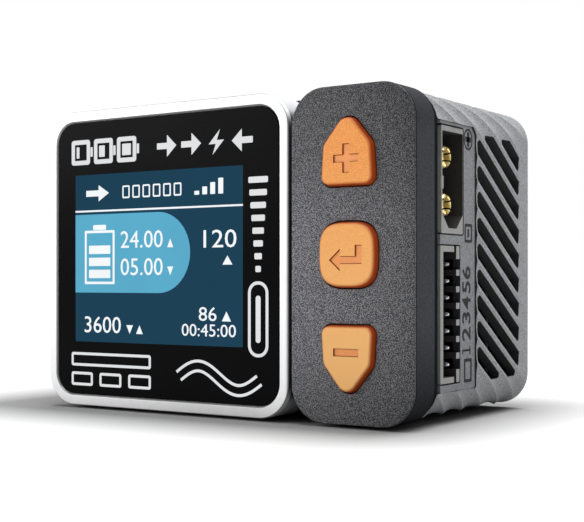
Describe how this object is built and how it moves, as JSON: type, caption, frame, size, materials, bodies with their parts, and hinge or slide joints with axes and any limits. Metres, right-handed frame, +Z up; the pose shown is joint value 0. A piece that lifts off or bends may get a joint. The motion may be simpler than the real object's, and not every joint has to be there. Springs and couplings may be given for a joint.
{
  "type": "balance battery charger",
  "caption": "Small desktop balance charger for model batteries: square display, button block with raised keys, ridged vented shell, battery ports on the side, mains and DC inlets at the back.",
  "frame": {"origin": "on the table plane under the middle of the overall box", "axes": "+X to the right seen from the front, +Y from the front towards the back, +Z up"},
  "size_m": [0.0708, 0.0426, 0.05],
  "materials": {
    "shell_grey": "fine stone-like texture, mid grey",
    "black_plastic": "fine matte black",
    "black_rubber": "soft matte black rubber",
    "dark_screw": "blackened steel",
    "satin_metal": "satin bead-blasted silver",
    "black_glass": "glossy black cover with a clear window",
    "light_grey_plastic": "matte light grey",
    "lcd_glass": "blue liquid crystal screen with light marks",
    "white_plastic": "white diffuser",
    "circuit_board": "green solder mask",
    "charcoal_plastic": "smooth charcoal with a slight sheen",
    "speckled_plastic": "coarse speckled charcoal texture",
    "orange_plastic": "satin orange",
    "connector_grey": "smooth grey nylon",
    "gold": "gold plated",
    "heatsink_aluminium": "extruded bare aluminium",
    "thermal_silicone": "soft pale blue pad",
    "clear_film": "pale film",
    "ferrite": "sintered dark grey ferrite",
    "yellow_tape": "yellow winding tape",
    "capacitor_sleeve": "dark blue sleeve",
    "copper_wire": "enamelled copper",
    "white_ceramic": "white ceramic",
    "cable_grey": "grey flat cable",
    "plated_metal": "nickel plated",
    "yellow_plastic": "yellow nylon",
    "bearing_bronze": "sintered bronze"
  },
  "bodies": {
    "chassis": {"main_shell": "shell_grey", "back_panel": "black_plastic", "mid_frame": "black_plastic", "rubber_feet": "black_rubber", "case_screws": "dark_screw", "module_screws": "dark_screw", "display_ring": "satin_metal", "cover_glass": "black_glass", "display_housing": "light_grey_plastic", "lcd_panel": "lcd_glass", "lcd_backlight": "white_plastic", "display_pcb": "circuit_board", "control_housing": "charcoal_plastic", "keypad_faceplate": "speckled_plastic", "switch_bodies": "black_plastic", "keypad_pcb": "circuit_board", "output_housing": "connector_grey", "output_pins": "gold", "balance_header": "connector_grey", "balance_pins": "gold", "output_pcb": "circuit_board", "heatsink": "heatsink_aluminium", "heatsink_screws": "dark_screw", "thermal_pad": "thermal_silicone", "power_transistors": "black_plastic", "main_pcb": "circuit_board", "insulation_sheet": "clear_film", "pcb_screws": "dark_screw", "transformer_core": "ferrite", "transformer_winding": "yellow_tape", "bulk_capacitor": "capacitor_sleeve", "filter_capacitors": "capacitor_sleeve", "power_inductor": "ferrite", "line_choke": "copper_wire", "fuse": "white_ceramic", "buzzer": "black_plastic", "ribbon_cables": "cable_grey", "mains_inlet": "black_plastic", "mains_pins": "plated_metal", "dc_input_housing": "yellow_plastic", "dc_input_pins": "gold", "usb_shell": "plated_metal", "usb_tongue": "black_plastic", "fan_frame": "black_plastic", "fan_stator": "copper_wire", "fan_bearing": "bearing_bronze", "fan_screws": "dark_screw"},
    "plus_key": {"button_plus": "orange_plastic", "plunger_plus": "black_plastic"},
    "enter_key": {"button_enter": "orange_plastic", "plunger_enter": "black_plastic"},
    "minus_key": {"button_minus": "orange_plastic", "plunger_minus": "black_plastic"},
    "rotor": {"fan_rotor": "black_plastic"}
  },
  "joints": [
    {"name": "plus_press", "type": "slide", "parent": "chassis", "child": "plus_key", "axis": [0, 1, 0], "range_m": [0, 0.0005]},
    {"name": "enter_press", "type": "slide", "parent": "chassis", "child": "enter_key", "axis": [0, 1, 0], "range_m": [0, 0.0005]},
    {"name": "minus_press", "type": "slide", "parent": "chassis", "child": "minus_key", "axis": [0, 1, 0], "range_m": [0, 0.0005]},
    {"name": "fan_spin", "type": "hinge", "parent": "chassis", "child": "rotor", "pos_m": [-0.017, 0.0157, 0.02525], "axis": [0, 1, 0], "continuous": true}
  ]
}
